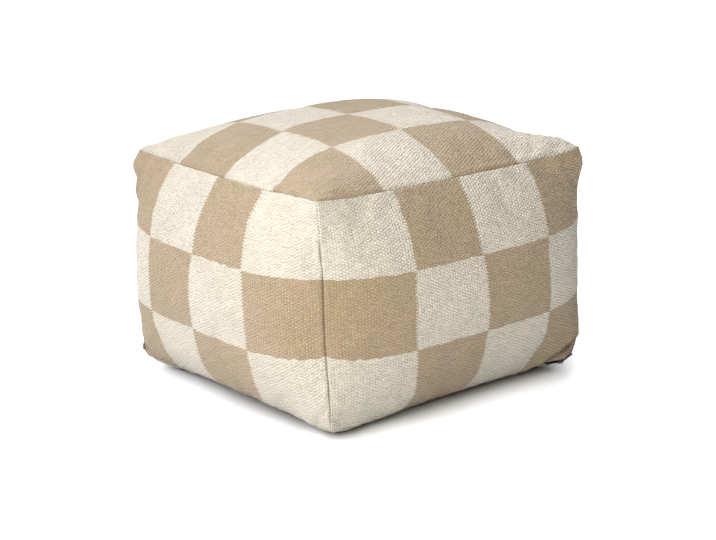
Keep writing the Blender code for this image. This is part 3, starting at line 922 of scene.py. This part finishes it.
# %% The coil, one turn copied along the tape
TURN_PITCH = 0.85 * MM
TURN_SIZE = (0.62 * MM, 3.1 * MM, 1.7 * MM)
TURN_ASIDE, TURN_SLANT = 0.85 * MM, 0.16
COIL_START, COIL_END = TAPE_START + 4.4 * MM, TAPE_END - 6.9 * MM
UNDER_SLIDER, SLIDER_PRESS = 4.5 * MM, 0.2 * MM
turn = new_piece("coil_turn", bpy.ops.mesh.primitive_cube_add, size=1)
edit_all()
bpy.ops.transform.resize(value=TURN_SIZE)
bpy.ops.transform.translate(value=(0, 0, COIL_HEIGHT / 2))
rounded(turn, 0.24 * MM, 2)
turn_matrices = []
place = COIL_START
while place < COIL_END:
    side = 1 if len(turn_matrices) % 2 else -1
    shift = Matrix.Translation((0, side * TURN_ASIDE, 0)) @ Matrix.Rotation(side * TURN_SLANT, 4, "Z")
    base = COIL_BASE if abs(place - SLIDER_PLACE) > UNDER_SLIDER else COIL_BASE - SLIDER_PRESS
    turn_matrices.append(zip_frame(place, base) @ shift)
    place += TURN_PITCH
coil = copies_along(turn, turn_matrices, "zip_coil")
print("the coil has", len(turn_matrices), "turns and", len(coil.data.polygons), "faces")

# %% [markdown]
# ## Stitches on the tape
# Two rows of thread hold the coil's edges and the tape. A stitch is a short
# rounded bar, higher in its middle than at its ends, where the needle took it
# down through the tape.

# %% One stitch, copied in two rows
STITCH_PITCH, STITCH_HALF_LENGTH, STITCH_RADIUS = 3.0 * MM, 1.15 * MM, 0.24 * MM
STITCH_ROW, STITCH_RISE, STITCH_DIP = 4.6 * MM, 0.15 * MM, 0.22 * MM
stitch = new_piece("stitch", bpy.ops.mesh.primitive_cylinder_add, vertices=6,
                   radius=STITCH_RADIUS, depth=2 * STITCH_HALF_LENGTH, rotation=(0, math.pi / 2, 0))
edit_all()
bpy.ops.mesh.bisect(plane_co=(0, 0, 0), plane_no=(1, 0, 0))
object_mode()
places = vertex_places(stitch)
places[:, 2] += STITCH_RISE - STITCH_DIP * (places[:, 0] / STITCH_HALF_LENGTH) ** 2
move_vertices(stitch, places)
stitch.data.shade_smooth()
stitch_places = np.arange(TAPE_START + 2 * MM, TAPE_END - 1.5 * MM, STITCH_PITCH)
rows = [zip_frame(place, TAPE_TOP) @ Matrix.Translation((0, side * STITCH_ROW, 0))
        for place in stitch_places for side in (-1, 1)]
stitches = copies_along(stitch, rows, "zip_stitches")
print("stitches:", len(rows))

# %% [markdown]
# ## The slider
# The slider is a small casting: a plate that narrows towards its nose, with
# two cheeks folded down beside the coil and an arched bridge that holds the
# pull. The plate starts as a cube; its base is inset, and the two long strips
# of that inset are extruded as the cheeks.

# %% Plate, cheeks and bridge
SLIDER_SIZE, NOSE_SHARE, CHEEK_DEPTH = (12.0 * MM, 9.2 * MM, 1.1 * MM), 0.72, 1.5 * MM
BRIDGE_RADIUS, BRIDGE_THICKNESS, BRIDGE_FOOT = 2.6 * MM, 0.62 * MM, 1.2 * MM
slider = new_piece("zip_slider_body", bpy.ops.mesh.primitive_cube_add, size=1)
edit_all()
bpy.ops.transform.resize(value=SLIDER_SIZE)
bpy.ops.transform.translate(value=(0, 0, 0.55 * MM))
select_faces(slider, lambda face: face.normal.x < -0.9)
bpy.ops.transform.resize(value=(1, NOSE_SHARE, 1))
select_faces(slider, lambda face: face.normal.z > 0.9)
bpy.ops.mesh.inset(thickness=1.0 * MM)
bpy.ops.transform.translate(value=(0, 0, 0.35 * MM))
select_faces(slider, lambda face: face.normal.z < -0.9)
bpy.ops.mesh.inset(thickness=0.9 * MM)
select_faces(slider, lambda face: face.normal.z < -0.9 and abs(face.center.y) > 2.6 * MM)
extrude_by(-CHEEK_DEPTH)
rounded(slider, 0.28 * MM, 2)
bridge = new_piece("bridge", bpy.ops.mesh.primitive_torus_add, major_radius=BRIDGE_RADIUS,
                   minor_radius=BRIDGE_THICKNESS, major_segments=28, minor_segments=12,
                   rotation=(math.pi / 2, 0, 0), location=(0, 0, BRIDGE_FOOT))
edit_all()
bpy.ops.mesh.bisect(plane_co=(0, 0, BRIDGE_FOOT), plane_no=(0, 0, 1), use_fill=True, clear_inner=True)
object_mode()
bpy.ops.object.shade_smooth_by_angle(angle=SMOOTH_ANGLE)
slider = join_all([slider, bridge], "zip_slider_body")
slider.data.transform(zip_frame(SLIDER_PLACE, SLIDER_BASE))
print("slider faces:", len(slider.data.polygons))

# %% [markdown]
# ## The pull
# The pull is a long pointed oval of silvered metal inside a black rim. It is a
# filled circle pulled out to the oval, given its thickness by extruding, and
# its face is inset and sunk to leave the rim standing. A ring ties it to the
# slider's bridge.

# %% Oval, rim, eye and ring
PULL_LENGTH, PULL_WIDTH, PULL_THICKNESS = 21.0 * MM, 7.5 * MM, 1.4 * MM
RIM_WIDTH, RECESS_DEPTH, EYE_RADIUS, EYE_PLACE = 0.75 * MM, 0.35 * MM, 0.95 * MM, 2.6 * MM
END_SHARE, OVAL_POWER, SIDE_POWER = 0.30, 0.8, 0.25
pull = new_piece("zip_pull_tab", bpy.ops.mesh.primitive_circle_add, vertices=44, radius=1,
                 fill_type="NGON")
places = vertex_places(pull)
share = (1 + places[:, 0]) / 2
swell = END_SHARE + (1 - END_SHARE) * np.sin(math.pi * np.clip(share, 0, 1)) ** OVAL_POWER
places[:, 0] = share * PULL_LENGTH
places[:, 1] = np.sign(places[:, 1]) * abs(places[:, 1]) ** SIDE_POWER * swell * PULL_WIDTH / 2
places[:, 2] = -PULL_THICKNESS / 2
move_vertices(pull, places)
edit_all()
extrude_by(PULL_THICKNESS)
bpy.ops.mesh.select_all(action="SELECT")
bpy.ops.mesh.normals_make_consistent(inside=False)
for way in (1, -1):
    select_faces(pull, lambda face: face.normal.z * way > 0.9)
    bpy.ops.mesh.inset(thickness=RIM_WIDTH)
    extrude_by(way * -RECESS_DEPTH)
object_mode()
in_recess = [int(abs(face.normal.z) > 0.9 and abs(face.center.z) < 0.45 * MM)
             for face in pull.data.polygons]
pull.data.materials.append(bpy.data.materials.new("rim_for_now"))
pull.data.materials.append(bpy.data.materials.new("face_for_now"))
pull.data.polygons.foreach_set("material_index", in_recess)
eye = new_piece("eye_cutter", bpy.ops.mesh.primitive_cylinder_add, vertices=20,
                radius=EYE_RADIUS, depth=4 * MM, location=(EYE_PLACE, 0, 0))
apply_modifier(pull, "BOOLEAN", object=eye, solver="EXACT")
bpy.data.objects.remove(eye)
rounded(pull, 0.12 * MM, 1)
PULL_PLACE = SLIDER_PLACE + 3.3 * MM
PULL_HEIGHT = SLIDER_BASE + 2.1 * MM
pull.data.transform(zip_frame(PULL_PLACE, PULL_HEIGHT))
ring = new_piece("pull_ring", bpy.ops.mesh.primitive_torus_add, major_radius=1.75 * MM,
                 minor_radius=0.38 * MM, major_segments=24, minor_segments=8,
                 rotation=(0, math.radians(42), 0))
ring.data.shade_smooth()
ring.data.transform(zip_frame(SLIDER_PLACE + 4.2 * MM, PULL_HEIGHT + 0.4 * MM))
print("pull faces:", len(pull.data.polygons))

# %% [markdown]
# ## Finishes of the zip
# Black nylon is a little glossy, enamel is glossier, and the pull is silvered
# metal. All are a little worn and mottled. The tape is a close twill, so its
# threads run aslant in fine ridges.

# %% Nylon, thread, enamel, metal and tape
RIDGE_PITCH = 0.9 * MM


def mottled(name, colour, worn, roughness, scale, depth, metallic=0.0):
    """A hard finish with fine wear in its colour, gloss and surface."""
    made = Finish(name)
    room = made.add("ShaderNodeTexCoord", output="Object")
    fine = made.cloud(room, scale, 4.0)
    broad = made.cloud(room, scale / 6)
    wear = ((broad - 0.52) * 6.0).between(0.0, 1.0)
    made.put(Base_Color=made.mix(wear * fine, colour, worn))
    made.put(Roughness=(fine - 0.5) * 0.25 + roughness, Metallic=metallic)
    made.put(Normal=made.bump(0.6, depth, fine))
    return made.material


def twill(name, colour, pale):
    """Close diagonal weave for the zip's tape."""
    made = Finish(name)
    room = made.add("ShaderNodeTexCoord", output="Object")
    x = made.add("ShaderNodeSeparateXYZ", inputs={0: room})
    aslant = x + x.output(1) * 0.9 + x.output(2) * 1.3
    ridge = (aslant * (2 * math.pi / RIDGE_PITCH)).math("SINE") * 0.5 + 0.5
    lint = made.cloud(room, 700.0, 3.0)
    made.put(Base_Color=made.mix(ridge * 0.5 + lint * 0.5, colour, pale), Roughness=0.9)
    made.put(Normal=made.bump(0.8, 0.2 * MM, ridge + lint * 0.4))
    return made.material


NYLON, NYLON_WORN = (0.010, 0.010, 0.010, 1), (0.03, 0.03, 0.03, 1)
ENAMEL, ENAMEL_WORN = (0.012, 0.012, 0.012, 1), (0.16, 0.15, 0.14, 1)
SILVER, SILVER_WORN = (0.74, 0.73, 0.70, 1), (0.50, 0.49, 0.46, 1)
coil_nylon = mottled("coil_nylon", NYLON, NYLON_WORN, 0.42, 900.0, 0.0001)
slider_enamel = mottled("slider_enamel", ENAMEL, ENAMEL_WORN, 0.30, 500.0, 0.00008)
pull_metal = mottled("pull_metal", SILVER, SILVER_WORN, 0.42, 650.0, 0.00008, 0.3)
black_twill = twill("black_twill", (0.012, 0.011, 0.010, 1), (0.035, 0.032, 0.030, 1))
tape_thread = twill("tape_thread", (0.020, 0.018, 0.016, 1), (0.060, 0.055, 0.050, 1))
coil.data.materials.append(coil_nylon)
stitches.data.materials.append(tape_thread)
slider.data.materials.clear()
slider.data.materials.append(slider_enamel)
ring.data.materials.append(slider_enamel)
pull.data.materials[0] = slider_enamel
pull.data.materials[1] = pull_metal

# %% Tie the zip's pieces to the frame
for piece, slot in ((coil, "zip_nylon"), (stitches, "zip_tape"), (slider, "zip_slider"),
                    (pull, "zip_pull"), (ring, "zip_slider")):
    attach(piece, "root")
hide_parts("zip_teeth")
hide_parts("zip_slider")
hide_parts("zip_pull")
for node, name in (("zip_tape", "tape_cloth"), ("zip_end_stop", "tape_end")):
    mesh = bpy.data.objects[node].data.copy()
    mesh.transform(bpy.data.objects[node].matrix_world)
    piece = add_object(name, mesh)
    work_on(piece)
    edit_all()
    bpy.ops.mesh.remove_doubles(threshold=0.01 * MM)
    object_mode()
    move_vertices(piece, handled(vertex_places(piece), ZIP_HANDLING))
    print(name, "has", len(mesh.vertices), "vertices, merged")
    mesh.materials.clear()
    mesh.materials.append(black_twill)
    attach(piece, "root")
    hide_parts(node)
print("the zip's pieces ride on the pouf")

# %% [markdown]
# ## Studio
# The pouf stands on a white sweep. Square panels hang close to its left
# and above, so the light falls off across it and the right side darkens away
# from the front corner; broad lamps behind keep the top and floor bright.
# The floor also glows, a painted light that fades out under the pouf and so
# paints its contact shadow, and a painted shadow darkens the floor's colour
# beside the pouf's left side.

# %% Floor
SHADOW_HALF_WIDTH = 0.215
start_alone()
bpy.ops.mesh.primitive_plane_add(size=14)
floor = bpy.context.active_object
floor.name = "studio_floor"
white = Finish("studio_floor_painted_glow_and_shadow")
across_floor = white.add("ShaderNodeTexCoord", output="Object")
floor_x = white.add("ShaderNodeSeparateXYZ", inputs={0: across_floor})
floor_y = floor_x.output(1)
# Painted shadow: the floor's colour is darker beside the pouf's left side.
painted_left_shadow_mask = ((floor_y - floor_x - 0.03) / 0.05).between(0.0, 1.0)
painted_left_shadow_mask = painted_left_shadow_mask * ((floor_x + 0.34) / 0.07).between(0.0, 1.0)
paper_with_painted_shadow = white.mix(painted_left_shadow_mask, (0.84, 0.84, 0.84, 1), (0.60, 0.60, 0.60, 1))
white.put(Base_Color=paper_with_painted_shadow, Roughness=0.9)
# Painted light: the floor glows, and the glow fades to nothing under the pouf, which paints its
# contact shadow.
aside = floor_x.math("ABSOLUTE").math("MAXIMUM", floor_y.math("ABSOLUTE"))
painted_floor_glow = ((aside - SHADOW_HALF_WIDTH) / 0.05).between(0.0, 1.0)
painted_floor_glow = white.add("ShaderNodeCombineColor", inputs={0: painted_floor_glow, 1: painted_floor_glow * 1.05, 2: painted_floor_glow * 1.12})
white.put(Emission_Color=painted_floor_glow, Emission_Strength=0.34)
floor.data.materials.append(white.material)
print("the white floor is laid")

# %% Lights
def add_light(name, kind, towards, strength, colour, **settings):
    """A light turned to shine from the side that a vector points towards."""
    data = bpy.data.lights.new(name, kind)
    data.energy = strength
    data.color = colour
    for setting, value in settings.items():
        setattr(data, setting, value)
    light = add_object(name, data)
    light.rotation_euler = towards.to_track_quat("Z", "Y").to_euler()
    return light


def soft_lamp(name, azimuth, elevation, strength, spread=50):
    """A far, broad lamp; azimuth 0 is the front, in degrees to the right."""
    turn, lift = math.radians(azimuth), math.radians(elevation)
    level = math.cos(lift)
    towards = Vector((math.sin(turn) * level, -math.cos(turn) * level, math.sin(lift)))
    add_light(name, "SUN", towards, strength, (0.96, 0.96, 1.0), angle=math.radians(spread))


def soft_panel(name, place, size, power):
    """A square panel of light near the pouf, which falls off across it."""
    towards = Vector(place) - Vector(PANEL_AIM)
    panel = add_light(name, "AREA", towards, power, (1.0, 0.978, 0.93), size=size)
    panel.location = place


PANEL_AIM = (0, 0, 0.15)
soft_lamp("left_lamp", -90, 30, 1.7)
soft_lamp("left_back_lamp", -135, 40, 3.05)
soft_lamp("back_lamp", 150, 45, 3.1, spread=60)
soft_panel("left_panel", (-1.3, -0.6, 1.6), 1.0, 10.0)
soft_panel("high_panel", (-0.8, -1.05, 1.9), 1.0, 10.6)
soft_panel("near_panel", (-0.65, -1.0, 0.8), 0.6, 8.7)
room = bpy.data.worlds.new("white_room")
bpy.context.scene.world = room
room.use_nodes = True
sky = room.node_tree.nodes["Background"]
sky.inputs["Color"].default_value = (1, 1, 1, 1)
sky.inputs["Strength"].default_value = 0.02
bpy.context.scene.view_settings.view_transform = "Standard"
print("three soft lamps and three panels")

# %% [markdown]
# ## Camera
# The camera stands where the photograph was taken from: 37 degrees round from
# the right-hand side and 16 above the level, 2.9 m away with a long lens, and
# rolled by two degrees.

# %% Set the camera
AZIMUTH, ELEVATION, ROLL = (math.radians(angle) for angle in (-37.105, 16.313, -2.073))
AIM = Vector((0, 0, 0.1761))
ASIDE, BELOW, DISTANCE = 0.0042, 0.0145, 2.8928
back = Vector((math.sin(AZIMUTH) * math.cos(ELEVATION),
               -math.cos(AZIMUTH) * math.cos(ELEVATION), math.sin(ELEVATION)))
level_right = Vector((math.cos(AZIMUTH), math.sin(AZIMUTH), 0))
level_up = back.cross(level_right)
right = level_right * math.cos(ROLL) + level_up * math.sin(ROLL)
up = level_up * math.cos(ROLL) - level_right * math.sin(ROLL)
camera = add_object("camera", bpy.data.cameras.new("camera"))
camera.data.sensor_width = 36
camera.data.lens = 92.99
turned_camera = Matrix((right, up, back)).transposed().to_4x4()
turned_camera.translation = AIM + right * ASIDE - up * BELOW + back * DISTANCE
camera.matrix_world = turned_camera
bpy.context.scene.camera = camera
print("camera at", [round(value, 2) for value in turned_camera.translation])
